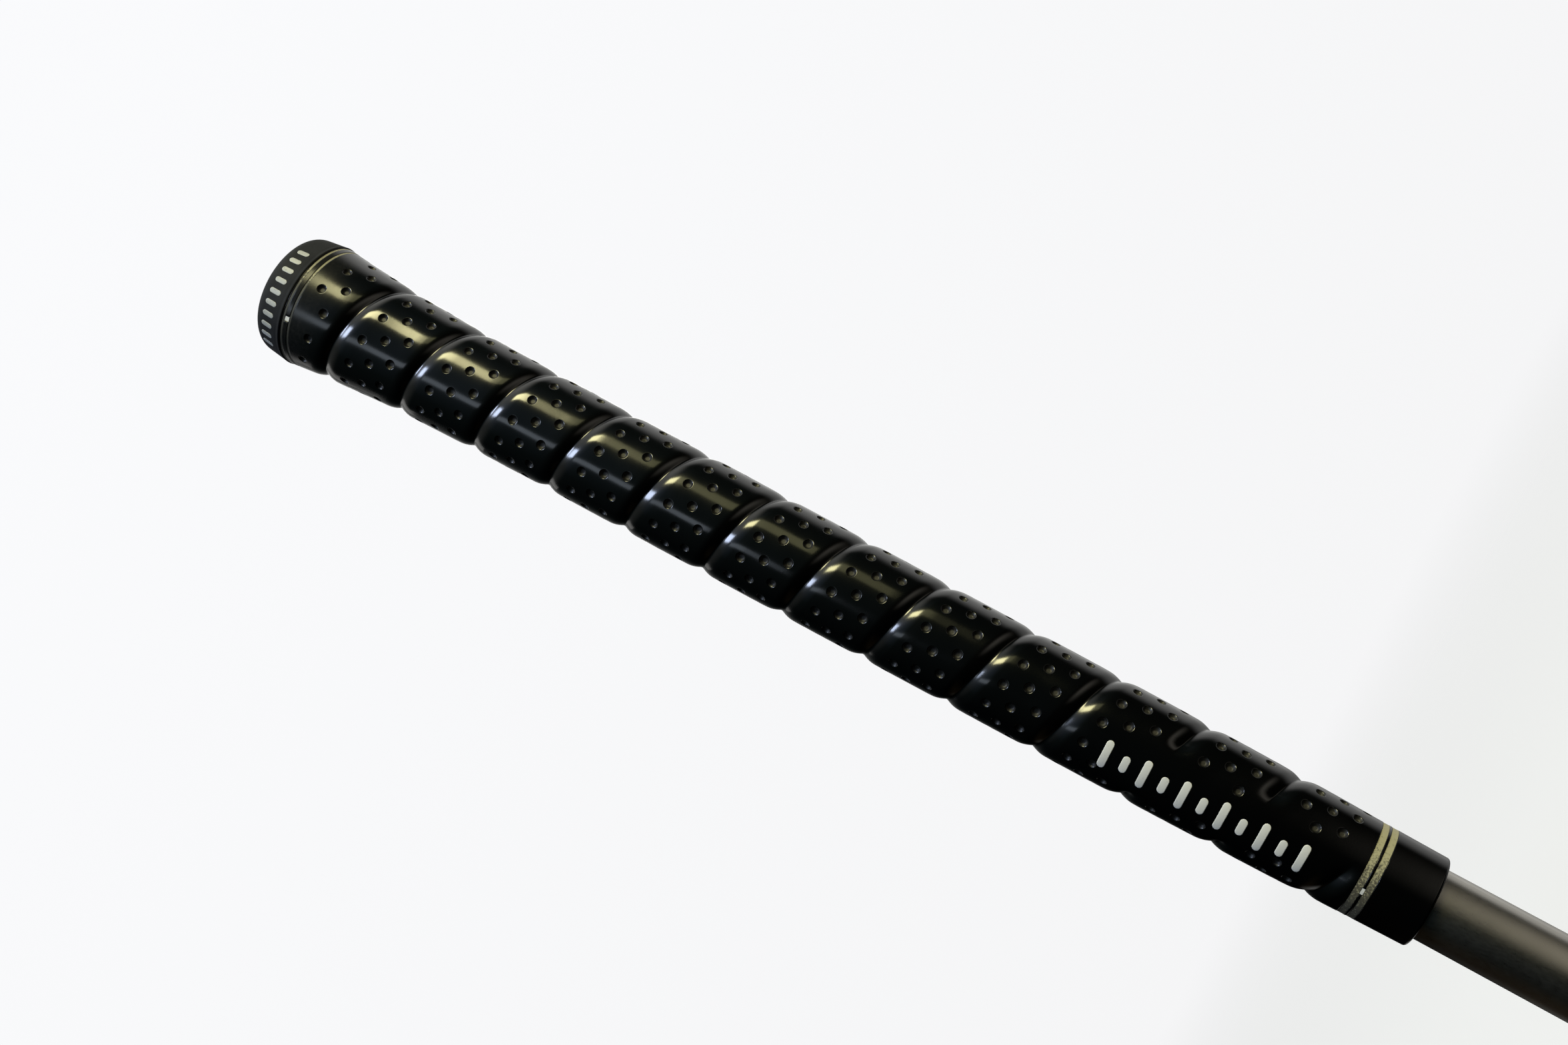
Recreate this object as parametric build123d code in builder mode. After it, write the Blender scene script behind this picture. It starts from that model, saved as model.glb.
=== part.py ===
"""Golf grip fitted to the butt end of a steel shaft.

Frame: +Z runs along the grip's axis towards its butt end. The origin is the
centre of the shaft's cut end, and the smooth panel faces -Y.
"""

from build123d import *
from math import cos, radians, sin
import os

# Lengths along the grip are in millimetres, measured from the butt end.
GRIP_LENGTH = 267.0          # 10.5 in, butt to mouth
STUB = 63.0                  # bare shaft below the mouth
BUTT_Z = STUB + GRIP_LENGTH  # 330

SHAFT_R = 7.176              # 0.565 in tube below the mouth
BUTT_R = 7.366               # its 0.580 in butt section, inside the grip
STEP = 1.5                   # length of the step between them, inside the mouth
SHAFT_WALL = 0.38
TAPE = 0.13                  # thickness of the double-sided tape
TAPE_STOP = 5.0              # the tape ends this far above the mouth
TAPE_TUCK = 12.0             # length of tape tucked into the open butt

CAP_R = 14.2                 # widest place of the cap
CAP_WIDEST = 7.5             # its distance from the butt
CAP_SIDE = 8.6               # depth of the cap's side
DOME_MIDDLE = (7.0, 0.24)    # (radius, drop) half way out on the cap's domed end
DOME_EDGE = (13.4, 0.9)      # and where the end and the side would meet in a corner
CAP_WALL = 3.2               # thickness of the cap's end
CAP_EDGE = 3.0               # rounding between its end and its side
NECK_R = 10.5                # sleeve's neck inside the cap
VENT_R = 1.5

# Outside of the sleeve: (distance from the butt, radius)
CREST = [(8.6, 14.08), (12, 13.7), (21, 12.95), (32, 12.15), (45, 11.68), (65, 11.3),
         (100, 11.03), (160, 10.6), (220, 10.12), (243, 9.72), (255, 9.38), (267, 9.12)]
LIP = 0.6                    # rounding of the mouth's edge

PITCH = 19.05                # one turn of the wrap, 3/4 in
GROOVE_AT = 22.85            # the groove crosses GROOVE_AZ here
GROOVE_AZ = 294.5
GROOVE_DEPTH = 1.0
GROOVE_HALF = 2.3            # half its width at the surface
GROOVE_FIRST = 13.5          # the groove runs from here
GROOVE_LAST = 251.5          # to here
GROOVE_STEPS = 24            # points in each turn
RUN_OUT = 20.0               # turn over which its ends fade out, degrees
OVERCUT = 0.4                # the cutter stands this far out of the rubber
CLEAR = 0.05                 # and its ends this far
PANEL_LOW, PANEL_HIGH = 241.5, 306.5      # azimuths of the smooth panel's sides
PANEL_FROM, PANEL_TO = 201.0, 245.0       # the panel's reach along the grip

PAINT_SINK = 0.05            # the paint lies this far below the rubber
PAINT = 0.3                  # thickness of the paint fill
BUTT_LINES = [("butt_line_upper", 9.1), ("butt_line_lower", 10.65)]
BUTT_LINE_WIDTH = 0.45
MOUTH_LINES = [("mouth_line_upper", 254.1), ("mouth_line_lower", 255.95)]
MOUTH_LINE_WIDTH = 1.25
BUTT_TICK, MOUTH_TICK = 1.0, 1.3      # widths of the marks that link each pair of lines

BAR_WIDTH = 1.6
PANEL_BARS = [203.0 + 4.0 * i for i in range(11)]
TALL_BAR, SHORT_BAR = 6.2, 3.6
CAP_BAR_AT, CAP_BAR, CAP_BAR_WIDTH = 5.0, 3.0, 1.2
CAP_BAR_AZ = [232.0 + 11.0 * i for i in range(10)]


def height(distance):
    """Z of a place measured from the butt end."""
    return BUTT_Z - distance


def on_dome(place):
    """Section point of a (radius, drop) pair on the cap's end."""
    radius, drop = place
    return radius, height(drop)


def crest(distance):
    """Radius of the sleeve's outside."""
    for (d0, r0), (d1, r1) in zip(CREST, CREST[1:]):
        if distance <= d1:
            return r0 + (r1 - r0) * (distance - d0) / (d1 - d0)
    return CREST[-1][1]


def crest_points(offset, start, end):
    """Points on the sleeve's outside, moved out by offset."""
    inner = [d for d, _ in CREST if start < d < end]
    return [(crest(d) + offset, height(d)) for d in [start, *inner, end]]


def tube(r_in, r_out, low, high):
    """A plain tube about Z."""
    with BuildPart() as part:
        with BuildSketch(Plane.XY.offset(low)):
            Circle(r_out)
            Circle(r_in, mode=Mode.SUBTRACT)
        extrude(amount=high - low)
    return part.part


def ring_line(at, width, out=0.0):
    """Paint fill of a ring line; out extends it to cut its recess."""
    skin = crest(at) - PAINT_SINK
    return tube(skin - PAINT, skin + out, height(at + width / 2), height(at - width / 2))


def tick(lines, line_width, width, out=0.0):
    """Link of paint between a pair of ring lines, on the panel's side."""
    (_, upper), (_, lower) = lines
    low, high = height(lower - line_width / 2), height(upper + line_width / 2)
    skin = crest((upper + lower) / 2) - PAINT_SINK
    with BuildPart() as part:
        with BuildSketch(Plane.XY.offset(low)):
            Circle(skin + out)
            Circle(skin - PAINT, mode=Mode.SUBTRACT)
            with Locations((0, -skin)):
                Rectangle(width, 3 * PAINT + 2 * out, mode=Mode.INTERSECT)
        extrude(amount=high - low)
    return part.part


def skin_shell(points, out):
    """Layer of paint thickness under an outline of (radius, height) points."""
    under = [(r - PAINT_SINK - PAINT, z) for r, z in points]
    over = [(r - PAINT_SINK + out, z) for r, z in reversed(points)]
    with BuildPart() as part:
        with BuildSketch(Plane.XZ):
            with BuildLine():
                Polyline(*under, *over, close=True)
            make_face()
        revolve(axis=Axis.Z)
    return part.part


def panel_fill(out=0.0):
    """Upright bars on the panel, tall and short in turn."""
    with BuildPart() as part:
        with BuildSketch(Plane.XZ.offset(CAP_R)):
            for i, at in enumerate(PANEL_BARS):
                with Locations((0, height(at))):
                    SlotOverall(SHORT_BAR if i % 2 else TALL_BAR, BAR_WIDTH)
        extrude(amount=-CAP_R)
        span = crest_points(0, PANEL_BARS[0] - BAR_WIDTH, PANEL_BARS[-1] + BAR_WIDTH)
        add(skin_shell(span, out), mode=Mode.INTERSECT)
    return part.part


def cap_fill(out=0.0):
    """Short bars along the cap's side, on the panel's side of the grip."""
    with BuildPart() as part:
        for azimuth in CAP_BAR_AZ:
            toward = Vector(cos(radians(azimuth)), sin(radians(azimuth)), 0)
            with BuildSketch(Plane((0, 0, height(CAP_BAR_AT)), x_dir=(0, 0, 1), z_dir=toward)):
                SlotOverall(CAP_BAR, CAP_BAR_WIDTH)
            extrude(amount=2 * CAP_R)
        add(skin_shell([(CAP_R, height(CAP_WIDEST)), on_dome(DOME_EDGE)], out), mode=Mode.INTERSECT)
    return part.part


def groove_cutter(start, end, run):
    """V-shaped cutter along the wrap from one distance to another.

    Its section rises out of the rubber over RUN_OUT degrees at the run's ends.
    """
    count = round((end - start) / PITCH * GROOVE_STEPS)
    floor, upper, lower = [], [], []
    for i in range(count + 1):
        at = start + (end - start) * i / count
        azimuth = radians(GROOVE_AZ + 360 * (at - GROOVE_AT) / PITCH)
        inside = min(at - run[0], run[1] - at) * 360 / PITCH
        depth = GROOVE_DEPTH * min(1, inside / RUN_OUT) - CLEAR * (inside < RUN_OUT / 2)
        for points, radius, shift in ((floor, crest(at) - depth, 0),
                                      (upper, crest(at) + OVERCUT, GROOVE_HALF),
                                      (lower, crest(at) + OVERCUT, -GROOVE_HALF)):
            points.append((radius * cos(azimuth), radius * sin(azimuth), height(at) + shift))
    curves = [Edge.make_spline(points) for points in (floor, upper, lower)]
    faces = [Face.make_surface_from_curves(a, b)
             for a, b in zip(curves, curves[1:] + curves[:1])]
    for end_point in (0, 1):
        faces.append(Face(Wire.make_polygon([curve @ end_point for curve in curves])))
    return Solid(Shell(faces))


def groove_runs():
    """Stretches of groove, broken where the smooth panel interrupts it."""
    runs, start, turn = [], GROOVE_FIRST, 0
    while True:
        gap_from = GROOVE_AT + PITCH * ((PANEL_LOW - GROOVE_AZ) / 360 + turn)
        gap_to = GROOVE_AT + PITCH * ((PANEL_HIGH - GROOVE_AZ) / 360 + turn)
        if gap_from > PANEL_TO:
            return [*runs, (start, GROOVE_LAST)]
        if gap_from > PANEL_FROM:
            runs.append((start, gap_from))
            start = gap_to
        turn += 1


def groove_cutters():
    """Cutters for every run, each about two turns long."""
    cutters = []
    for run in groove_runs():
        count = max(1, round((run[1] - run[0]) / (2 * PITCH)))
        stops = [run[0] + (run[1] - run[0]) * i / count for i in range(count + 1)]
        cutters += [groove_cutter(a, b, run) for a, b in zip(stops, stops[1:])]
    return cutters


# ---- shaft: a steel tube of even wall, open at both ends, with one step in it ----
tuck_end = BUTT_Z - CAP_WALL - TAPE
tuck_r = BUTT_R - SHAFT_WALL
with BuildPart() as shaft:
    with BuildSketch(Plane.XZ):
        with BuildLine():
            Polyline((SHAFT_R, 0), (SHAFT_R, STUB), (BUTT_R, STUB + STEP), (BUTT_R, tuck_end),
                     (tuck_r, tuck_end), (tuck_r, STUB + STEP),
                     (SHAFT_R - SHAFT_WALL, STUB), (SHAFT_R - SHAFT_WALL, 0), close=True)
        make_face()
    revolve(axis=Axis.Z)

# ---- grip tape: round the shaft, over its end and a little way down inside ----
with BuildPart() as grip_tape:
    with BuildSketch(Plane.XZ):
        with BuildLine():
            Polyline((BUTT_R, STUB + TAPE_STOP), (BUTT_R + TAPE, STUB + TAPE_STOP),
                     (BUTT_R + TAPE, tuck_end + TAPE), (tuck_r - TAPE, tuck_end + TAPE),
                     (tuck_r - TAPE, tuck_end - TAPE_TUCK), (tuck_r, tuck_end - TAPE_TUCK),
                     (tuck_r, tuck_end), (BUTT_R, tuck_end), close=True)
        make_face()
    revolve(axis=Axis.Z)

# ---- butt cap: domed end wall, rounded edge and a side that widens to its rim ----
seam = height(CAP_SIDE)
with BuildPart() as butt_cap:
    with BuildSketch(Plane.XZ) as cap_section:
        with BuildLine():
            dome = ThreePointArc((VENT_R, BUTT_Z), on_dome(DOME_MIDDLE), on_dome(DOME_EDGE))
            Polyline(dome @ 1, (CAP_R, height(CAP_WIDEST)), (CAP_R, seam), (NECK_R, seam),
                     (NECK_R, height(CAP_WALL)), (VENT_R, height(CAP_WALL)), dome @ 0)
        make_face()
        shoulder = cap_section.vertices().sort_by_distance(dome @ 1)[0]
        fillet(shoulder, radius=CAP_EDGE)
    revolve(axis=Axis.Z)
    add(cap_fill(out=1.0), mode=Mode.SUBTRACT)

# ---- grip sleeve: tapered rubber body with the spiral groove cut into it ----
with BuildPart() as grip_sleeve:
    with BuildSketch(Plane.XZ):
        with BuildLine():
            outside = Spline(*crest_points(0, CAP_SIDE, GRIP_LENGTH - LIP))
            mouth = Spline(outside @ 1, (CREST[-1][1] - LIP, STUB), tangents=[(0, -1), (-1, 0)])
            Polyline(mouth @ 1, (SHAFT_R, STUB), (BUTT_R, STUB + STEP),
                     (BUTT_R, STUB + TAPE_STOP), (BUTT_R + TAPE, STUB + TAPE_STOP),
                     (BUTT_R + TAPE, height(CAP_WALL)), (NECK_R, height(CAP_WALL)),
                     (NECK_R, seam), outside @ 0)
        make_face()
    revolve(axis=Axis.Z)
    for cutter in groove_cutters():
        add(cutter, mode=Mode.SUBTRACT)
    for _, at in BUTT_LINES:
        add(ring_line(at, BUTT_LINE_WIDTH, out=1.0), mode=Mode.SUBTRACT)
    for _, at in MOUTH_LINES:
        add(ring_line(at, MOUTH_LINE_WIDTH, out=1.0), mode=Mode.SUBTRACT)
    add(tick(BUTT_LINES, BUTT_LINE_WIDTH, BUTT_TICK, out=1.0), mode=Mode.SUBTRACT)
    add(tick(MOUTH_LINES, MOUTH_LINE_WIDTH, MOUTH_TICK, out=1.0), mode=Mode.SUBTRACT)
    add(panel_fill(out=1.0), mode=Mode.SUBTRACT)

# ---- paint: ring lines, their alignment ticks and the two rows of bars ----
paint = []
for name, at in BUTT_LINES:
    with BuildPart() as line:
        add(ring_line(at, BUTT_LINE_WIDTH))
    paint.append((line, name))
for name, at in MOUTH_LINES:
    with BuildPart() as line:
        add(ring_line(at, MOUTH_LINE_WIDTH))
    paint.append((line, name))
with BuildPart() as butt_tick:
    add(tick(BUTT_LINES, BUTT_LINE_WIDTH, BUTT_TICK))
with BuildPart() as mouth_tick:
    add(tick(MOUTH_LINES, MOUTH_LINE_WIDTH, MOUTH_TICK))
with BuildPart() as panel_bars:
    add(panel_fill())
with BuildPart() as cap_bars:
    add(cap_fill())

os.makedirs("parts", exist_ok=True)
pieces = [(shaft, "shaft"), (grip_tape, "grip_tape"), (butt_cap, "butt_cap"),
          (grip_sleeve, "grip_sleeve"), *paint, (butt_tick, "butt_tick"),
          (mouth_tick, "mouth_tick"), (panel_bars, "panel_bars"), (cap_bars, "cap_bars")]
for piece, name in pieces:
    piece.part.label = name
    export_step(piece.part, f"parts/{name}.step")
    print(name, round(piece.part.volume, 2), len(piece.part.solids()), piece.part.is_valid)
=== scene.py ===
"""Golf grip on a stub of steel shaft.

The CAD model in model.glb gives every piece's place. The rubber sleeve, its cap and the painted
bars are shaped here in full detail, the other pieces keep their CAD shape, and
all of them get their finish here. Shapes are worked out in millimetres, with
distances along the grip measured from its butt end, and azimuths in degrees.
"""

import bpy
import math
import numpy as np
from mathutils import Matrix, Vector


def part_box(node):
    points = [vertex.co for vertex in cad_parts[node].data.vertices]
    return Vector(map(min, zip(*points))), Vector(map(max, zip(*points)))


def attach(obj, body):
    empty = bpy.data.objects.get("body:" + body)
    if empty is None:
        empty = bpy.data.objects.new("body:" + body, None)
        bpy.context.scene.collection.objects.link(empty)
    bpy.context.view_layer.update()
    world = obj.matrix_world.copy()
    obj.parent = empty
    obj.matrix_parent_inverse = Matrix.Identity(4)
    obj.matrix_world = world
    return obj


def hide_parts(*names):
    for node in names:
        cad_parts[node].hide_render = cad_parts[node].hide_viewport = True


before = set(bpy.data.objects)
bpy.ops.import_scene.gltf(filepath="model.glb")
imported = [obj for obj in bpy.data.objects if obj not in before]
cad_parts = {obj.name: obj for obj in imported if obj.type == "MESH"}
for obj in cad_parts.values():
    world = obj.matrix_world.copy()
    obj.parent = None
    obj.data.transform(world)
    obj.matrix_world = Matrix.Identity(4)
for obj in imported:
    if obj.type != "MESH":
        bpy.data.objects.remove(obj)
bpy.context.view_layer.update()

MM = 0.001

# The butt's height above the shaft's cut end, and places along the grip
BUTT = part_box("butt_cap")[1].z / MM
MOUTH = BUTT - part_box("grip_sleeve")[0].z / MM
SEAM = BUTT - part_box("butt_cap")[0].z / MM
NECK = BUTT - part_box("grip_sleeve")[1].z / MM

# Radii of the tape, the cap, the shaft at the mouth, the sleeve's neck and the vent
TAPE_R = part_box("grip_tape")[1].x / MM
CAP_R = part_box("butt_cap")[1].x / MM
SHAFT_R = 7.176
NECK_R, VENT_R = 10.5, 1.5

# Outside of the sleeve: distance from the butt, radius
CREST = np.array([(8.6, 14.08), (12, 13.7), (21, 12.95), (32, 12.15), (45, 11.68), (65, 11.3),
                  (100, 11.03), (160, 10.6), (220, 10.12), (243, 9.72), (255, 9.38), (267, 9.12)])
CREST_SLOPE = np.gradient(CREST[:, 1], CREST[:, 0])

# The wrap: a left-handed spiral groove with three lines of dimples between its turns
PITCH = 19.05
GROOVE_AT, GROOVE_AZ = 22.85, 294.5
GROOVE_DEPTH, GROOVE_HALF = 0.76, 3.0
GROOVE_ROUND, GROOVE_ROUND_ROOT = 0.06, 0.245    # rounding of its floor: its square, itself
GROOVE_CURVE = 2.2           # how hollow its walls are, 1 for straight ones
PILLOW_DEPTH, PILLOW_HALF = 0.1, 5.0
GROOVE_FIRST, GROOVE_LAST = 13.5, 251.5
RUN_OUT = 1.3                # length over which the groove's ends fade out
DIMPLE_STEP = 28.8           # degrees between dimples in a line
LINE_AT = (5.2, 9.4, 13.6)   # the lines' distances from the groove
LINE_GAP = LINE_AT[1] - LINE_AT[0]
DIMPLE_R, DIMPLE_FLOOR, DIMPLE_DEPTH = 1.07, 0.5, 0.72
DIMPLE_FIRST, DIMPLE_LAST = 13.2, 250.5

# The smooth panel, whose middle faces -Y
PANEL_AZ = 270
PANEL_FROM, PANEL_TO = 200.5, 246.5    # distances between which it breaks the groove
PANEL_GROOVES = (243.5, 304.5)         # azimuths between which the groove is left out
PANEL_DIMPLES = (254.0, 301.5)         # and the dimples
PANEL_FADE = 18.0                      # degrees over which the groove fades out

# Recesses of the painted ring lines: middle, width
RING_LINES = [(9.1, 0.45), (10.65, 0.45), (254.1, 1.25), (255.95, 1.25)]
RING_DEPTH, RING_EDGE = 0.36, 0.07
TICKS = [(9.87, 2.06), (255.02, 3.98)]   # their links: middle, half the width in degrees
TICK_REACH, TICK_EDGE = 0.9, 0.4         # half a link's recess, fade of its sides in degrees
WRAP_FROM, WRAP_TO = 11.3, 252.7         # the wrap's mesh lies between these

# The sleeve's edges
SEAM_EDGE = [(0, 0.3), (0.05, 0.1)]      # distances from the seam, depths below the crest
SEAM_EDGE_END = 0.15
LIP = 0.6                                # rounding of the mouth
BORE_EDGE = [(0, 0.2), (0.2, 0.03)]      # distances into the mouth, gaps round the shaft
BORE_SEAT = 2                            # the bore has widened to the tape this far in

BAR_WIDTH, TALL_BAR, SHORT_BAR = 1.6, 6.2, 3.6
BARS_AT = [203.0 + 4.0 * i for i in range(11)]
CAP_BAR_AT, CAP_BAR, CAP_BAR_WIDTH = 5.0, 3.0, 1.2
CAP_BARS_AZ = [232.0 + 11.0 * i for i in range(10)]
BAR_PROUD = 0.04
BAR_STEPS = 20
# Section of a bar, from one edge to the other: shares of half its width and of BAR_PROUD
BAR_SECTION = [(-1, -1), (-0.94, 0.6), (-0.8, 1), (0, 1), (0.8, 1), (0.94, 0.6), (1, -1)]

# The cap's outside: its dome, the rounding of its edge and its flared side
DOME_DROP = 0.0065           # fall of the dome per square millimetre from its middle
VENT_BEVEL, VENT_BEVEL_DEPTH = 0.15, 0.2    # bevel of the vent's edge
DOME_RINGS, CAP_EDGE_STEPS, RIM_STEPS = 12, 14, 9
CAP_EDGE = 3.0
CAP_EDGE_INSET = 0.17        # how much further in than its radius the rounding starts
CAP_WIDEST = 7.5
CAP_FLARE = 0.121            # widening of the side per millimetre
RIM, BEAD = 0.35, 0.12       # rounding of the cap's rim at the seam, and how far it stands out
RIM_START = -49              # angle at which the rim's rounding leaves the side
CAP_COLUMNS = 96
CAP_CREASE = 50              # edges sharper than this many degrees stay sharp


# ---------------------------------------------------------------- sleeve's shape

def smooth(x):
    """0 up to 0, 1 from 1 on, and an even curve between them."""
    x = np.clip(x, 0, 1)
    return x * x * (3 - 2 * x)


def crest(d):
    """Radius of the sleeve's outside, a smooth curve through CREST."""
    i = np.clip(np.searchsorted(CREST[:, 0], d) - 1, 0, len(CREST) - 2)
    span = CREST[i + 1, 0] - CREST[i, 0]
    t = (d - CREST[i, 0]) / span
    rise = CREST[i + 1, 1] - CREST[i, 1]
    start, end = CREST_SLOPE[i] * span, CREST_SLOPE[i + 1] * span
    return CREST[i, 1] + t * (start + t * (3 * rise - 2 * start - end
                                           + t * (start + end - 2 * rise)))


def between(azimuth, limits, fade):
    """1 inside a range of azimuths, falling to 0 over fade degrees past its ends."""
    middle, half = sum(limits) / 2, (limits[1] - limits[0]) / 2
    off = np.abs((azimuth - middle + 180) % 360 - 180)
    return 1 - smooth((off - half) / fade)


def groove(azimuth, d):
    """Depth of the wrap's groove and of the rounding of the bands beside it."""
    turn = (d - GROOVE_AT) / PITCH - (azimuth - GROOVE_AZ) / 360
    across = (turn - np.round(turn)) * PITCH
    at = d - across
    strength = smooth((at - GROOVE_FIRST) / RUN_OUT) * smooth((GROOVE_LAST - at) / RUN_OUT)
    on_panel = smooth(at - PANEL_FROM) * smooth(PANEL_TO - at)
    strength = strength * (1 - on_panel * between(azimuth, PANEL_GROOVES, PANEL_FADE))
    reach = (np.sqrt(across ** 2 + GROOVE_ROUND) - GROOVE_ROUND_ROOT) / GROOVE_HALF
    crease = np.clip(1 - reach, 0, 1) ** GROOVE_CURVE
    pillow = 1 - smooth(np.abs(across) / PILLOW_HALF)
    return strength * (GROOVE_DEPTH * crease + PILLOW_DEPTH * pillow)


def has_dimple(azimuth, d):
    """Whether a dimple is centred here: not by the ring lines or on the panel."""
    on_panel = (d > PANEL_FROM) & (between(azimuth, PANEL_DIMPLES, 1e-3) > 0)
    return (d > DIMPLE_FIRST) & (d < DIMPLE_LAST) & ~on_panel


def hollow(azimuth, d):
    """How far into a dimple a place is: 0 outside it, 1 on its floor."""
    turn = np.floor((d - GROOVE_AT) / PITCH - (azimuth - GROOVE_AZ) / 360)
    along = azimuth - GROOVE_AZ + 360 * turn
    deepest = np.zeros(np.shape(d))
    for line, at in enumerate(LINE_AT):
        phase = DIMPLE_STEP / 3 * (line - 1)
        centre = np.round((along - phase) / DIMPLE_STEP) * DIMPLE_STEP + phase
        centre_d = GROOVE_AT + PITCH * centre / 360 + at
        away = np.hypot(np.radians(along - centre) * crest(d), d - centre_d)
        inside = smooth((DIMPLE_R - away) / (DIMPLE_R - DIMPLE_FLOOR))
        deepest = np.maximum(deepest, inside * has_dimple(centre + GROOVE_AZ, centre_d))
    return deepest


def ring_recess(azimuth, d):
    """Depth of the recesses that hold the painted lines and their links."""
    depth = np.zeros(np.shape(d))
    for at, width in RING_LINES:
        depth = np.maximum(depth, 1 - smooth((np.abs(d - at) - width / 2) / RING_EDGE))
    for at, half in TICKS:
        link = between(azimuth, (PANEL_AZ - half, PANEL_AZ + half), TICK_EDGE)
        depth = np.maximum(depth, link * (np.abs(d - at) < TICK_REACH))
    return RING_DEPTH * depth


def skin(azimuth, d):
    """Radius of the finished sleeve at an azimuth and a distance from the butt."""
    return (crest(d) - groove(azimuth, d) - DIMPLE_DEPTH * hollow(azimuth, d)
            - ring_recess(azimuth, d))


# ---------------------------------------------------------------- sleeve's mesh

COLUMN = DIMPLE_STEP / 6                      # degrees between the mesh's columns
TURN = round(360 / COLUMN)                    # columns in a turn

# Rows of the mesh across the groove
GROOVE_ROWS = [-2.9, -2.4, -2.0, -1.65, -1.3, -1.0, -0.7, -0.4, -0.15,
               0.15, 0.4, 0.7, 1.0, 1.3, 1.65, 2.0, 2.4, 2.8]

# Radii of the rings of mesh round a dimple's centre
DIMPLE_RINGS = [1.14, 1.02, 0.92, 0.82, 0.7, 0.56, 0.34]

# Rows across the edge of a ring line's recess, from inside it outwards
RECESS_ROWS = (-0.06, 0, RING_EDGE / 2, RING_EDGE, RING_EDGE + 0.08)
PLAIN_ROW = 1.2              # greatest step between the end zones' rows
LIP_STEPS = 6
STRIP_SPARE = 4              # how far the wrap's strip runs on past its end


class Mesh:
    """Collects faces by their corners, given as (azimuth, distance, radius)."""

    def __init__(self):
        self.corners, self.faces = [], []

    def face(self, *corners):
        start = len(self.corners)
        self.corners += corners
        self.faces.append(range(start, start + len(corners)))

    def patch(self, rows):
        """Faces between rows of corners, each row the same length."""
        for upper, lower in zip(rows, rows[1:]):
            for i in range(len(upper) - 1):
                self.face(upper[i], lower[i], lower[i + 1], upper[i + 1])

    def fan(self, ring, centre):
        """Triangles from a closed ring to its centre."""
        for a, b in zip(ring, ring[1:]):
            self.face(a, centre, b)


def on_skin(azimuth, d):
    """A corner on the sleeve's outside, whose radius is filled in at the end."""
    return azimuth, min(max(d, WRAP_FROM), WRAP_TO), None


def wrap_corner(column, off):
    """The place off millimetres from the groove, on a column of the mesh."""
    azimuth = GROOVE_AZ + COLUMN * column
    return azimuth, GROOVE_AT + PITCH * column / TURN + off


def dimple_patch(mesh, column, at):
    """A dimple with rings of its own, in a block of six columns by LINE_GAP."""
    azimuth, d = wrap_corner(column, at)
    steps = [LINE_GAP * (i / 4 - 0.5) for i in range(5)]
    edge = [(-3, s) for s in steps] + [(c, steps[-1]) for c in range(-2, 3)]
    edge += [(3, s) for s in reversed(steps)] + [(c, steps[0]) for c in range(2, -3, -1)]
    edge.reverse()
    outer = [wrap_corner(column + c, at + s) for c, s in edge]
    radius = float(crest(d))
    angles = [math.atan2(b - d, math.radians(a - azimuth) * radius) for a, b in outer]
    rings = [[on_skin(*corner) for corner in outer]]
    for r in DIMPLE_RINGS:
        rings.append([on_skin(azimuth + math.degrees(r * math.cos(t) / radius),
                              d + r * math.sin(t)) for t in angles])
    for ring in rings:
        ring.append(ring[0])
    mesh.patch(rings)
    mesh.fan(rings[-1], on_skin(azimuth, d))


def wrap_faces(mesh):
    """The dimpled part of the sleeve, as one strip that winds along the wrap.

    The strip is longer than this part, and what lies outside it shrinks to nothing,
    because on_skin() moves its corners onto the part's edges.
    """
    first = math.floor((WRAP_FROM - LINE_AT[2] - 2 * LINE_GAP - GROOVE_AT) / PITCH * TURN)
    last = math.ceil((WRAP_TO + STRIP_SPARE - GROOVE_AT) / PITCH * TURN)
    groove_rows = [LINE_AT[2] + LINE_GAP / 2 - PITCH, *GROOVE_ROWS, LINE_AT[0] - LINE_GAP / 2]
    for column in range(first, last):
        mesh.patch([[on_skin(*wrap_corner(c, off)) for c in (column, column + 1)]
                    for off in groove_rows])
    for line, at in enumerate(LINE_AT):
        shift = 2 * (line - 1)
        start = first - (first - shift) % 6
        for column in range(start, last + 6, 6):
            azimuth, d = wrap_corner(column, at)
            if has_dimple(azimuth, d):
                dimple_patch(mesh, column, at)
                continue
            rows = [at + LINE_GAP * (i / 4 - 0.5) for i in range(5)]
            mesh.patch([[on_skin(*wrap_corner(column + c, off)) for c in range(-3, 4)]
                        for off in rows])


def ring_rows(start, end):
    """Distances for rows of the plain end zones, close together at each recess's edges."""
    rows = {start, end}
    for at, width in RING_LINES:
        for side in (-1, 1):
            edge = at + side * width / 2
            rows |= {edge + side * off for off in RECESS_ROWS}
    rows = sorted(r for r in rows if start <= r <= end)
    filled = []
    for a, b in zip(rows, rows[1:]):
        count = math.ceil((b - a) / PLAIN_ROW)
        filled += [a + (b - a) * i / count for i in range(count)]
    return [*filled, end]


def end_azimuths():
    """The mesh's columns and the edges of the links' recesses, over one turn."""
    azimuths = [GROOVE_AZ + COLUMN * i for i in range(TURN + 1)]
    for _, half in TICKS:
        for edge in (half, half + TICK_EDGE / 2, half + TICK_EDGE):
            azimuths += [PANEL_AZ + 360 - edge, PANEL_AZ + 360 + edge]
    return sorted(azimuths)


def nearest_column(azimuth):
    """Azimuth of the mesh's column nearest to this one."""
    return GROOVE_AZ + COLUMN * round((azimuth - GROOVE_AZ) / COLUMN)


def revolve_rows(mesh, rows):
    """Closed bands between rows of (distance, radius or None).

    A row where the wrap begins or ends has corners on the wrap's columns only.
    """
    corners = []
    for d, r in rows:
        joins_wrap = d in (WRAP_FROM, WRAP_TO)
        corners.append([(nearest_column(a) if joins_wrap else a, d, r) for a in end_azimuths()])
    mesh.patch(corners)


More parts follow.
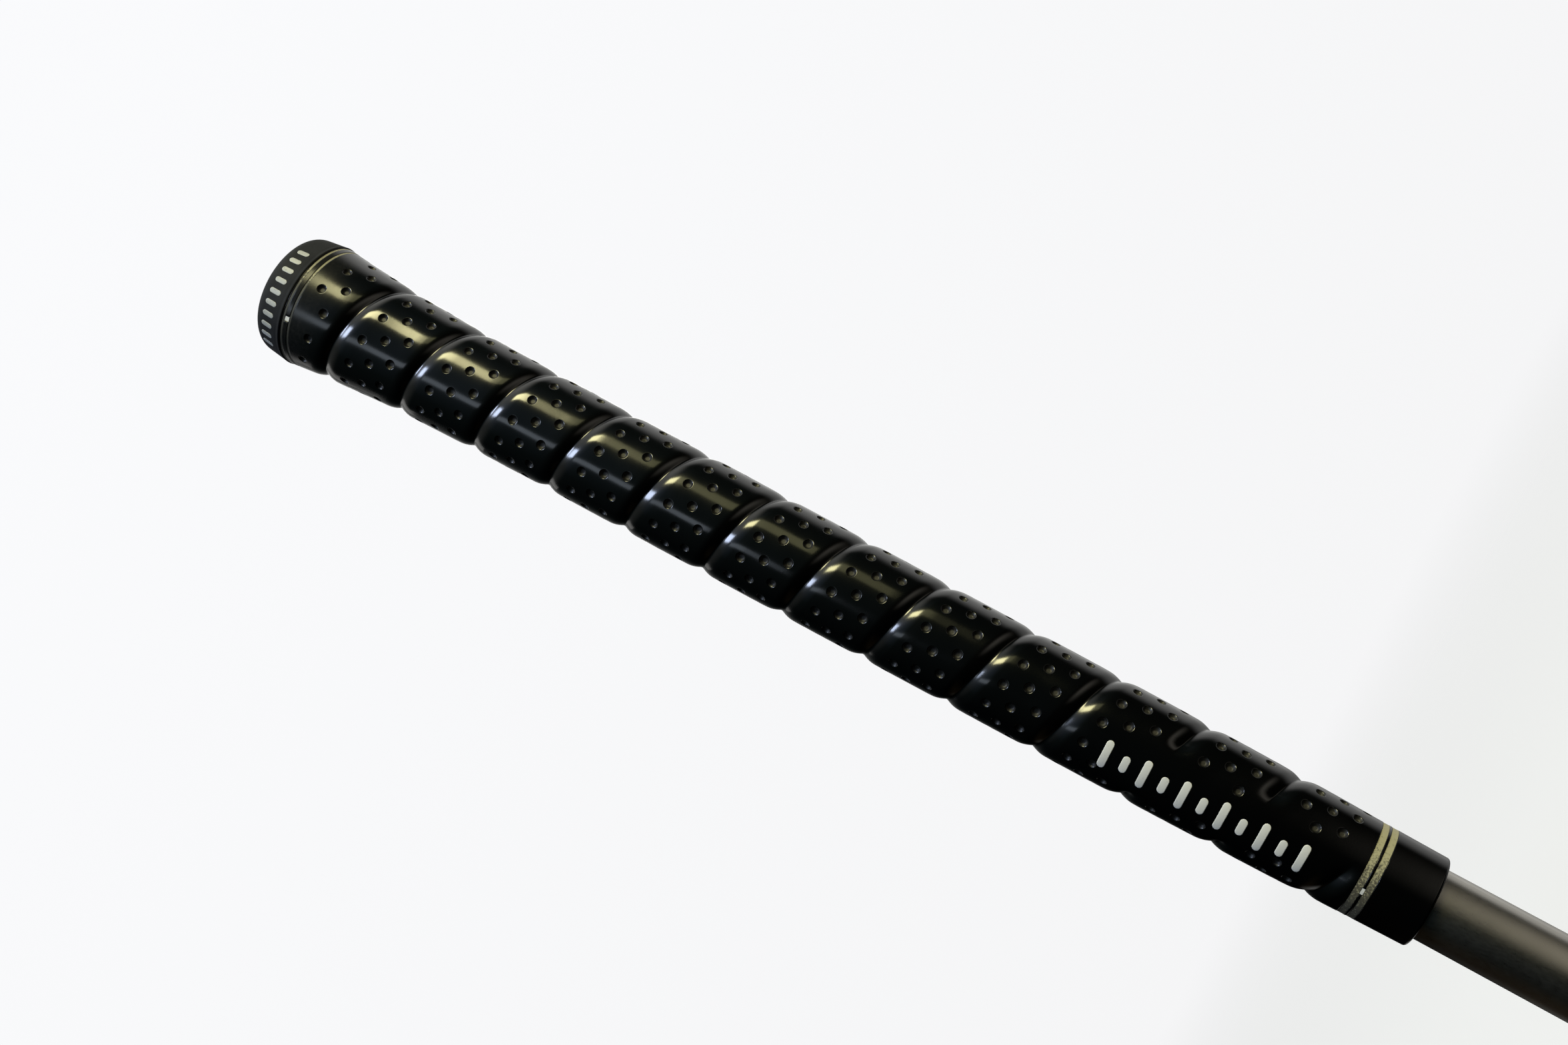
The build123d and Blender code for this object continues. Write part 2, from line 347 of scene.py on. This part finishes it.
def ends_faces(mesh):
    """The plain rubber beside the cap, the collar at the mouth and the bore."""
    top = float(crest(SEAM))
    neck = [(NECK, NECK_R), (SEAM, NECK_R)] + [(SEAM + d, top - depth) for d, depth in SEAM_EDGE]
    shoulder = [(d, None) for d in ring_rows(SEAM + SEAM_EDGE_END, WRAP_FROM)]
    revolve_rows(mesh, neck + shoulder)
    collar = [(d, None) for d in ring_rows(WRAP_TO, MOUTH - LIP)]
    edge = float(crest(MOUTH - LIP))
    for i in range(1, LIP_STEPS + 1):
        t = math.pi / 2 * i / LIP_STEPS
        collar.append((MOUTH - LIP + LIP * math.sin(t), edge - LIP * (1 - math.cos(t))))
    bore = [(MOUTH - d, SHAFT_R + gap) for d, gap in BORE_EDGE]
    bore += [(MOUTH - BORE_SEAT, TAPE_R), (NECK, TAPE_R)]
    revolve_rows(mesh, collar + bore)
    revolve_rows(mesh, [(NECK, TAPE_R), (NECK, NECK_R)])


def weld(corners, faces):
    """Merges corners at the same place and drops faces that have shrunk away."""
    _, first, index = np.unique(np.round(corners, 4), axis=0,
                                return_index=True, return_inverse=True)
    index = index.ravel()
    kept = []
    for face in faces:
        ring = list(dict.fromkeys(int(index[i]) for i in face))
        if len(ring) > 2:
            kept.append(ring)
    return corners[first], first, kept


def place(azimuth, d, radius):
    """Points in millimetres in the row frame."""
    angle = np.radians(azimuth)
    return np.stack([radius * np.cos(angle), radius * np.sin(angle), BUTT - d], axis=-1)


def skin_normals(azimuth, d):
    """Normals of the skin, from its slopes along and around the grip."""
    step = 0.02
    turn = np.degrees(step / crest(d))
    around = (place(azimuth + turn, d, skin(azimuth + turn, d))
              - place(azimuth - turn, d, skin(azimuth - turn, d)))
    along = (place(azimuth, d + step, skin(azimuth, d + step))
             - place(azimuth, d - step, skin(azimuth, d - step)))
    normal = np.cross(along, around)
    return normal / np.linalg.norm(normal, axis=1, keepdims=True)


def new_piece(name, points, faces, node, finish):
    """A piece from points in millimetres, which stands for a CAD node."""
    mesh = bpy.data.meshes.new(name)
    mesh.from_pydata((np.asarray(points) * MM).tolist(), [], faces)
    mesh.shade_smooth()
    mesh.materials.append(finish)
    piece = bpy.data.objects.new(name, mesh)
    bpy.context.collection.objects.link(piece)
    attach(piece, "root")
    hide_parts(node)
    return piece


def make_sleeve(finish):
    """The rubber sleeve, with its normals and its dimples' places for the dust."""
    mesh = Mesh()
    wrap_faces(mesh)
    ends_faces(mesh)
    azimuth = np.array([c[0] for c in mesh.corners])
    d = np.array([c[1] for c in mesh.corners])
    given = np.array([np.nan if c[2] is None else c[2] for c in mesh.corners])
    free = np.isnan(given)
    radius = np.where(free, skin(azimuth, d), given)
    points, first, faces = weld(place(azimuth, d, radius), mesh.faces)
    piece = new_piece("rubber_sleeve", points, faces, "grip_sleeve", finish)
    normals = np.where(free[first, None], skin_normals(azimuth[first], d[first]), 0)
    piece.data.normals_split_custom_set_from_vertices(normals.tolist())
    shade = piece.data.attributes.new("hollow", "FLOAT", "POINT")
    shade.data.foreach_set("value", hollow(azimuth[first], d[first]).astype(np.float32))
    return piece


# ---------------------------------------------------------------- cap

def cap_side(d):
    """Radius of the cap's flared side."""
    return CAP_R - BEAD - CAP_FLARE * max(0.0, CAP_WIDEST - d)


def arc(centre, radius, start, end, count):
    """Points (distance, radius) on an arc, with angles from outwards towards the mouth."""
    angles = [math.radians(start + (end - start) * i / count) for i in range(count + 1)]
    return [(centre[0] + radius * math.sin(t), centre[1] + radius * math.cos(t)) for t in angles]


def cap_profile():
    """Closed section of the cap as (distance, radius), from its vent outwards."""
    flare = math.degrees(math.atan(CAP_FLARE))
    start = CAP_R - CAP_EDGE - CAP_EDGE_INSET
    slope = math.degrees(math.atan(2 * DOME_DROP * start))
    drop = DOME_DROP * start ** 2
    centre = (drop + CAP_EDGE * math.cos(math.radians(slope)),
              start - CAP_EDGE * math.sin(math.radians(slope)))
    edge = arc(centre, CAP_EDGE, slope - 90, -flare, CAP_EDGE_STEPS)
    shift = cap_side(edge[-1][0]) - edge[-1][1]
    edge = [(d, r + shift) for d, r in edge]
    radii = [VENT_R + VENT_BEVEL + (edge[0][1] - VENT_R - VENT_BEVEL) * i / DOME_RINGS
             for i in range(DOME_RINGS)]
    dome = [(DOME_DROP * r ** 2, r) for r in radii]
    vent = [(NECK, VENT_R), (VENT_BEVEL_DEPTH, VENT_R)]
    side = [(d, cap_side(d)) for d in (CAP_BAR_AT, CAP_WIDEST - 0.5, CAP_WIDEST)]
    rim = arc((SEAM - RIM, CAP_R - RIM), RIM, RIM_START, 90, RIM_STEPS)
    return vent + dome + edge + side + rim + [(SEAM, NECK_R), (NECK, NECK_R), (NECK, VENT_R)]


def make_cap(finish):
    """The cap, turned from its section."""
    profile = cap_profile()
    azimuths = np.arange(CAP_COLUMNS) * 360 / CAP_COLUMNS
    points = [place(a, d, r) for d, r in profile for a in azimuths]
    faces = []
    for ring in range(len(profile) - 1):
        for i in range(CAP_COLUMNS):
            a = ring * CAP_COLUMNS + i
            b = ring * CAP_COLUMNS + (i + 1) % CAP_COLUMNS
            faces.append((a, a + CAP_COLUMNS, b + CAP_COLUMNS, b))
    piece = new_piece("cap_rubber_shell", points, faces, "butt_cap", finish)
    piece.data.set_sharp_from_angle(angle=math.radians(CAP_CREASE))
    return piece


# ---------------------------------------------------------------- painted bars

def bar_points(azimuth, at, around, along, radius_at):
    """Points of a round-ended bar, one section after another from end to end."""
    half, end_r = max(around, along) / 2, min(around, along) / 2
    points = []
    for i in range(BAR_STEPS + 1):
        x = -half * math.cos(math.pi * i / BAR_STEPS)
        into_end = max(0.0, abs(x) - half + end_r)
        width = math.sqrt(max(0.0, end_r ** 2 - into_end ** 2))
        for share, proud in BAR_SECTION:
            across = share * width
            turn, shift = (x, across) if around > along else (across, -x)
            radius = radius_at(at + shift) + BAR_PROUD * proud
            points.append(place(azimuth + math.degrees(turn / radius), at + shift, radius))
    return points


def make_bars(name, node, finish, bars, radius_at):
    """Closed bars of paint that follow a round surface, a little proud of it.

    Each bar is (azimuth, distance, size around the grip, size along it).
    """
    points, faces = [], []
    count = len(BAR_SECTION)
    for bar in bars:
        start = len(points)
        points += bar_points(*bar, radius_at)
        for i in range(BAR_STEPS):
            for k in range(count):
                a = start + i * count + k
                b = start + i * count + (k + 1) % count
                faces.append((a, b, b + count, a + count))
    points, _, faces = weld(np.array(points), faces)
    return new_piece(name, points, faces, node, finish)


def panel_bars():
    """Bars across the panel, tall and short in turn."""
    return [(PANEL_AZ, at, SHORT_BAR if i % 2 else TALL_BAR, BAR_WIDTH)
            for i, at in enumerate(BARS_AT)]


def cap_bars():
    """Short bars along the cap's side."""
    return [(azimuth, CAP_BAR_AT, CAP_BAR_WIDTH, CAP_BAR) for azimuth in CAP_BARS_AZ]


# ---------------------------------------------------------------- finishes

def material(name, **sockets):
    """A Principled material with these sockets set, and its shader node."""
    made = bpy.data.materials.new(name)
    made.use_nodes = True
    shader = made.node_tree.nodes["Principled BSDF"]
    for socket, value in sockets.items():
        shader.inputs[socket.replace("_", " ")].default_value = value
    return made, shader


def add_node(tree, kind, links=(), values=(), **settings):
    """A node with its properties set, its inputs' values set and its inputs linked."""
    node = tree.nodes.new(kind)
    for key, value in settings.items():
        setattr(node, key, value)
    for socket, value in dict(values).items():
        node.inputs[socket].default_value = value
    for socket, source in dict(links).items():
        tree.links.new(source, node.inputs[socket])
    return node


def object_place(tree):
    """A place in the object's own coordinates, in metres."""
    return add_node(tree, "ShaderNodeTexCoord").outputs["Object"]


def noise(tree, scale, detail=4.0, rough=0.5, stretch=(1, 1, 1)):
    """Noise in the object's own coordinates, stretched along its axes."""
    mapping = add_node(tree, "ShaderNodeMapping", {"Vector": object_place(tree)},
                       {"Scale": stretch})
    texture = add_node(tree, "ShaderNodeTexNoise", {"Vector": mapping.outputs[0]},
                       {"Scale": scale, "Detail": detail, "Roughness": rough})
    return texture.outputs["Fac"]


def remap(tree, value, low, high, to_low=0.0, to_high=1.0, smoothed=False):
    """A value's range from low to high moved to another range, and clamped to it."""
    node = add_node(tree, "ShaderNodeMapRange", {"Value": value},
                    {"From Min": low, "From Max": high, "To Min": to_low, "To Max": to_high},
                    interpolation_type="SMOOTHSTEP" if smoothed else "LINEAR")
    return node.outputs[0]


def toward(tree, where, azimuth):
    """How far a place lies toward an azimuth, as a dot product with that level direction."""
    a = math.radians(azimuth)
    node = add_node(tree, "ShaderNodeVectorMath", {0: where}, {1: (math.cos(a), math.sin(a), 0)},
                    operation="DOT_PRODUCT")
    return node.outputs["Value"]


def combine(tree, operation, first, second):
    """Arithmetic on two outputs, or on an output and a number."""
    node = add_node(tree, "ShaderNodeMath", operation=operation)
    for socket, value in zip(node.inputs, (first, second)):
        if isinstance(value, (int, float)):
            socket.default_value = value
        else:
            tree.links.new(value, socket)
    return node.outputs[0]


def blend(tree, factor, first, second):
    """A mix of two colours, each a tuple or an output."""
    node = add_node(tree, "ShaderNodeMix", {0: factor}, data_type="RGBA")
    for socket, value in ((node.inputs[6], first), (node.inputs[7], second)):
        if isinstance(value, tuple):
            socket.default_value = (*value, 1)
        else:
            tree.links.new(value, socket)
    return node.outputs[2]


def bump(tree, shader, height, distance):
    """Relief of distance millimetres on a shader."""
    node = add_node(tree, "ShaderNodeBump", {"Height": height}, {"Distance": distance * MM})
    tree.links.new(node.outputs[0], shader.inputs["Normal"])


DULL_TO, DULL_FROM = 19, 11    # distances between which the dullness beside the cap fades out


def sleeve_rubber():
    """Glossy black rubber, dusty in its dimples and duller beside the cap."""
    made, shader = material("sleeve_rubber_finish", IOR=1.5)
    tree = made.node_tree
    height = add_node(tree, "ShaderNodeSeparateXYZ", {0: object_place(tree)}).outputs["Z"]
    collar = remap(tree, height, (BUTT - DULL_TO) * MM, (BUTT - DULL_FROM) * MM, 0, 0.35,
                   smoothed=True)
    dimple = add_node(tree, "ShaderNodeAttribute", attribute_name="hollow").outputs["Fac"]
    dust = combine(tree, "MULTIPLY", combine(tree, "MAXIMUM", dimple, collar),
                   remap(tree, noise(tree, 1500, 3), 0.35, 0.75, 0.3, 1))
    tree.links.new(blend(tree, dust, (0.001, 0.0011, 0.0012), (0.034, 0.032, 0.030)),
                   shader.inputs["Base Color"])
    haze = remap(tree, noise(tree, 90, 5, 0.6), 0.35, 0.7, 0.13, 0.19)
    dull = combine(tree, "MAXIMUM", remap(tree, dimple, 0, 0.4, 0, 0.4),
                   combine(tree, "MULTIPLY", collar, 0.25))
    tree.links.new(combine(tree, "ADD", haze, dull), shader.inputs["Roughness"])
    bump(tree, shader, noise(tree, 2600, 2, 0.4), 0.0014)
    return made


def cap_rubber():
    """Dull charcoal rubber with the fine grain of the mould."""
    made, shader = material("cap_rubber_finish", IOR=1.3)
    tree = made.node_tree
    tone = remap(tree, noise(tree, 260, 6, 0.6), 0.3, 0.7)
    tree.links.new(blend(tree, tone, (0.0065, 0.0072, 0.0088), (0.0115, 0.0125, 0.0150)),
                   shader.inputs["Base Color"])
    tree.links.new(remap(tree, noise(tree, 150, 4), 0.3, 0.7, 0.75, 0.85),
                   shader.inputs["Roughness"])
    bump(tree, shader, noise(tree, 3200, 3, 0.6), 0.02)
    return made


def worn_and_shaded_paint(name, color, bare_and_shade, wear, rough, shaded_side=None):
    """Paint rubbed thin in places, with wear from 0 (fresh) to 1.

    Where a shaded side is given, as (azimuth, start, end, amount), the side toward that
    azimuth is darkened by a further amount of painted shade, which grows between these
    distances from the axis.
    """
    made, shader = material(name, IOR=1.45)
    tree = made.node_tree
    patches = noise(tree, 2400, 4, 0.6)
    # Painted shade: the paint darkens further on the side toward the given azimuth, away from the
    # lights
    if shaded_side is not None:
        azimuth, start, end, amount = shaded_side
        side_shade = remap(tree, toward(tree, object_place(tree), azimuth), start * MM, end * MM,
                    0, amount, smoothed=True)
        patches = combine(tree, "ADD", patches, side_shade)
    wear_and_shade = remap(tree, patches, 0.7 - 0.3 * wear, 0.9 - 0.3 * wear, 0, 0.9)
    tree.links.new(blend(tree, wear_and_shade, color, bare_and_shade), shader.inputs["Base Color"])
    tree.links.new(remap(tree, wear_and_shade, 0, 1, rough, rough + 0.2), shader.inputs["Roughness"])
    bump(tree, shader, noise(tree, 1900, 3), 0.015)
    return made


def shaft_steel():
    """Satin gunmetal steel with a fine even grain."""
    made, shader = material("shaft_steel_finish", Metallic=1.0)
    tree = made.node_tree
    grain = noise(tree, 2400, 3, 0.6, stretch=(1, 1, 0.3))
    stain = remap(tree, noise(tree, 60, 5, 0.6), 0.3, 0.7)
    tree.links.new(blend(tree, stain, (0.43, 0.41, 0.37), (0.53, 0.51, 0.465)),
                   shader.inputs["Base Color"])
    tree.links.new(remap(tree, grain, 0.3, 0.7, 0.27, 0.32), shader.inputs["Roughness"])
    bump(tree, shader, grain, 0.001)
    return made


def crepe_tape():
    """Tan paper tape with a crepe's fine creases."""
    made, shader = material("crepe_tape_finish", Roughness=0.85)
    tree = made.node_tree
    crease = noise(tree, 1200, 4, 0.7, stretch=(1, 1, 0.25))
    tree.links.new(blend(tree, crease, (0.50, 0.40, 0.25), (0.68, 0.58, 0.42)),
                   shader.inputs["Base Color"])
    bump(tree, shader, crease, 0.05)
    return made


def repaint(node, finish):
    """A CAD node keeps its shape and takes this finish."""
    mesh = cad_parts[node].data
    mesh.materials.clear()
    mesh.materials.append(finish)


# ---------------------------------------------------------------- stage, light and camera
# Lengths here are in metres

CAMERA_AT = Vector((0.1487, -0.3263, 0.1173))
CAMERA_RIGHT = Vector((0.34715, 0.38204, -0.85646))
CAMERA_UP = Vector((0.85392, 0.24876, 0.45709))
CAMERA_LENS, CAMERA_SENSOR = 41.395, 36.0    # in millimetres

FLOOR_R, FLOOR_SIDES = 1.6, 96
FLOOR_FADE = (0.15, 1.5)     # the floor fades out between these distances from its middle
FLOOR_GAP = 0.0002           # and lies this far below the shaft

STRIP_DISTANCE = 1.5         # from the grip's axis to every strip of light
SKY_PANEL_AZ, SKY_PANEL_DISTANCE = 280, 1.6
SKY_PANEL_OUT, SKY_PANEL_UP = 0.45, 0.893    # level and upright parts of its direction


def make_camera():
    """The camera, from which the whole grip is seen with its cap up and to the left."""
    data = bpy.data.cameras.new("camera")
    data.lens, data.sensor_width = CAMERA_LENS, CAMERA_SENSOR
    data.clip_start, data.clip_end = 0.01, 50.0
    camera = bpy.data.objects.new("camera", data)
    bpy.context.collection.objects.link(camera)
    axes = Matrix((CAMERA_RIGHT, CAMERA_UP, CAMERA_RIGHT.cross(CAMERA_UP))).transposed()
    camera.matrix_world = Matrix.Translation(CAMERA_AT) @ axes.to_4x4()
    bpy.context.scene.camera = camera
    bpy.context.scene.view_settings.view_transform = "Standard"


def make_floor():
    """A plain pale floor under the shaft's cut end, which fades into the surroundings."""
    mesh = bpy.data.meshes.new("floor")
    turns = [math.tau * i / FLOOR_SIDES for i in range(FLOOR_SIDES)]
    rim = [(FLOOR_R * math.cos(t), FLOOR_R * math.sin(t), 0) for t in turns]
    mesh.from_pydata(rim, [], [range(FLOOR_SIDES)])
    made, shader = material("floor_finish", Base_Color=(0.35, 0.35, 0.355, 1), Roughness=0.9,
                            Emission_Color=(0.94, 0.95, 0.97, 1), Emission_Strength=0.45)
    tree = made.node_tree
    far = add_node(tree, "ShaderNodeVectorMath", {0: object_place(tree)}, operation="LENGTH")
    tree.links.new(remap(tree, far.outputs["Value"], *FLOOR_FADE, 1, 0, smoothed=True),
                   shader.inputs["Alpha"])
    mesh.materials.append(made)
    floor = bpy.data.objects.new("floor", mesh)
    floor.location.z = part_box("shaft")[0].z - FLOOR_GAP
    floor.visible_glossy = False
    floor.visible_diffuse = False
    bpy.context.collection.objects.link(floor)


def make_world():
    """A dim room with a white backdrop, which lights the object and shows in its gloss.

    The room has a half-lit ceiling and a bluish sky in front, and low down a warm zone,
    a brown one and a pale one. The camera sees a plain pale background instead.
    """
    world = bpy.data.worlds.new("studio")
    bpy.context.scene.world = world
    world.use_nodes = True
    tree = world.node_tree
    where = add_node(tree, "ShaderNodeTexCoord").outputs["Generated"]
    axes = add_node(tree, "ShaderNodeSeparateXYZ", {0: where}).outputs

    def facing(azimuth, *limits):
        """How far a direction is inside a zone that lies toward an azimuth."""
        return remap(tree, toward(tree, where, azimuth), *limits)

    def at_height(*limits, smoothed=False):
        """How far a direction is inside a zone of heights."""
        return remap(tree, axes["Z"], *limits, smoothed=smoothed)

    def both(first, second):
        """Product of two shares."""
        return combine(tree, "MULTIPLY", first, second)

    dim = both(facing(300, -0.4, 1.0, 0.15, 1), at_height(-0.1, 0.38))
    room = blend(tree, dim, (0.0, 0.0, 0.0), (0.055, 0.085, 0.085))
    ceiling = both(at_height(0.5, 0.85, smoothed=True), facing(24, -0.5, 0.7, 0.1, 1))
    room = blend(tree, ceiling, room, (1.4, 1.4, 1.3))
    sky = both(facing(300, 0.2, 0.95), at_height(0.28, 0.8))
    room = blend(tree, sky, room, (0.32, 0.43, 0.6))
    beneath = both(at_height(-0.3, -0.14, 1, 0, smoothed=True),
                   at_height(-0.55, -0.3, smoothed=True))
    warm = combine(tree, "POWER", facing(345, 0.6, 1), 1.5)
    room = blend(tree, both(beneath, warm), room, (0.85, 0.79, 0.68))
    brown = both(beneath, facing(180, 0.6, 0.95))
    room = blend(tree, brown, room, (0.035, 0.024, 0.012))

    # The backdrop begins at azimuth 30, and its far end leans with height
    azimuth = combine(tree, "ARCTAN2", axes["Y"], axes["X"])
    rise = remap(tree, azimuth, math.radians(30), math.radians(56), smoothed=True)
    lean = combine(tree, "SUBTRACT", azimuth, both(axes["Z"], math.radians(60)))
    fall = remap(tree, lean, math.radians(90), math.radians(160), 1, 0)
    backdrop = both(both(rise, combine(tree, "POWER", fall, 3.0)), at_height(-0.25, 0.0, 0.7, 1))
    lit = blend(tree, backdrop, room, (0.83, 0.83, 0.81))
    pale = both(facing(120, 0.6, 0.95), at_height(-0.4, -0.2, 1, 0))
    lit = blend(tree, pale, lit, (0.55, 0.55, 0.535))

    seen = blend(tree, at_height(-0.3, 0.6), (0.90, 0.90, 0.905), (0.955, 0.96, 0.975))
    ray = add_node(tree, "ShaderNodeLightPath").outputs["Is Camera Ray"]
    tree.links.new(blend(tree, ray, lit, seen), tree.nodes["Background"].inputs["Color"])


def strip_light(name, azimuth, low, high, width, power, color):
    """An upright strip of light between two heights, facing the grip's axis."""
    data = bpy.data.lights.new(name, "AREA")
    data.shape, data.size, data.size_y = "RECTANGLE", width, high - low
    data.energy, data.color = power, color
    light = bpy.data.objects.new(name, data)
    a = math.radians(azimuth)
    light.location = (STRIP_DISTANCE * math.cos(a), STRIP_DISTANCE * math.sin(a),
                      (low + high) / 2)
    light.rotation_euler = (math.pi / 2, 0, a + math.pi / 2)
    light.visible_camera = False
    bpy.context.collection.objects.link(light)


def make_lights():
    """Strips of light round the grip, and a square bluish panel high up in front."""
    strip_light("warm_strip", 332.5, 0.9, 1.85, 0.5, 36, (1.0, 0.93, 0.5))
    strip_light("warm_glow", 335, 0.4, 0.9, 0.5, 1.2, (1.0, 0.96, 0.5))
    strip_light("cool_strip", 266, 0.55, 1.6, 0.27, 1.8, (0.78, 0.88, 1.0))
    strip_light("rear_strip", 160, 1.0, 1.9, 0.5, 0.8, (1.0, 0.98, 0.95))
    strip_light("back_strip", 112, 0.7, 1.9, 0.5, 5, (1.0, 0.98, 0.94))
    data = bpy.data.lights.new("sky_panel", "AREA")
    data.shape, data.size, data.energy, data.color = "SQUARE", 0.4, 12, (0.66, 0.76, 1.0)
    panel = bpy.data.objects.new("sky_panel", data)
    a = math.radians(SKY_PANEL_AZ)
    aim = Vector((math.cos(a) * SKY_PANEL_OUT, math.sin(a) * SKY_PANEL_OUT, SKY_PANEL_UP))
    panel.location = aim * SKY_PANEL_DISTANCE
    panel.rotation_euler = aim.to_track_quat("Z", "Y").to_euler()
    panel.visible_camera = False
    bpy.context.collection.objects.link(panel)


# ---------------------------------------------------------------- the scene

make_camera()
make_floor()
make_world()
make_lights()

make_sleeve(sleeve_rubber())
make_cap(cap_rubber())
white = worn_and_shaded_paint("white_paint_finish", (0.72, 0.72, 0.7), (0.4, 0.4, 0.38), 0.2, 0.4)
make_bars("panel_bars_paint", "panel_bars", white, panel_bars(),
          lambda d: float(crest(d)))
make_bars("cap_bars_paint", "cap_bars",
          worn_and_shaded_paint("grey_paint_finish", (0.36, 0.37, 0.36), (0.09, 0.09, 0.09), 0.4, 0.5),
          cap_bars(), cap_side)
# Both cream paints are darkened toward one side by painted shade, on top of their wear
cream = worn_and_shaded_paint("cream_paint_finish", (0.40, 0.375, 0.24), (0.05, 0.045, 0.035), 0.4, 0.45,
                   shaded_side=(235, -3, 12, 0.36))
worn_shaded_cream = worn_and_shaded_paint("worn_shaded_cream_finish", (0.26, 0.245, 0.16), (0.012, 0.012, 0.011),
                          0.5, 0.4, shaded_side=(255, 4, 13, 0.5))
for name, finish in (("butt_line_upper", worn_shaded_cream), ("butt_line_lower", worn_shaded_cream),
                     ("mouth_line_upper", cream), ("mouth_line_lower", cream),
                     ("butt_tick", white), ("mouth_tick", white)):
    repaint(name, finish)
repaint("shaft", shaft_steel())
repaint("grip_tape", crepe_tape())
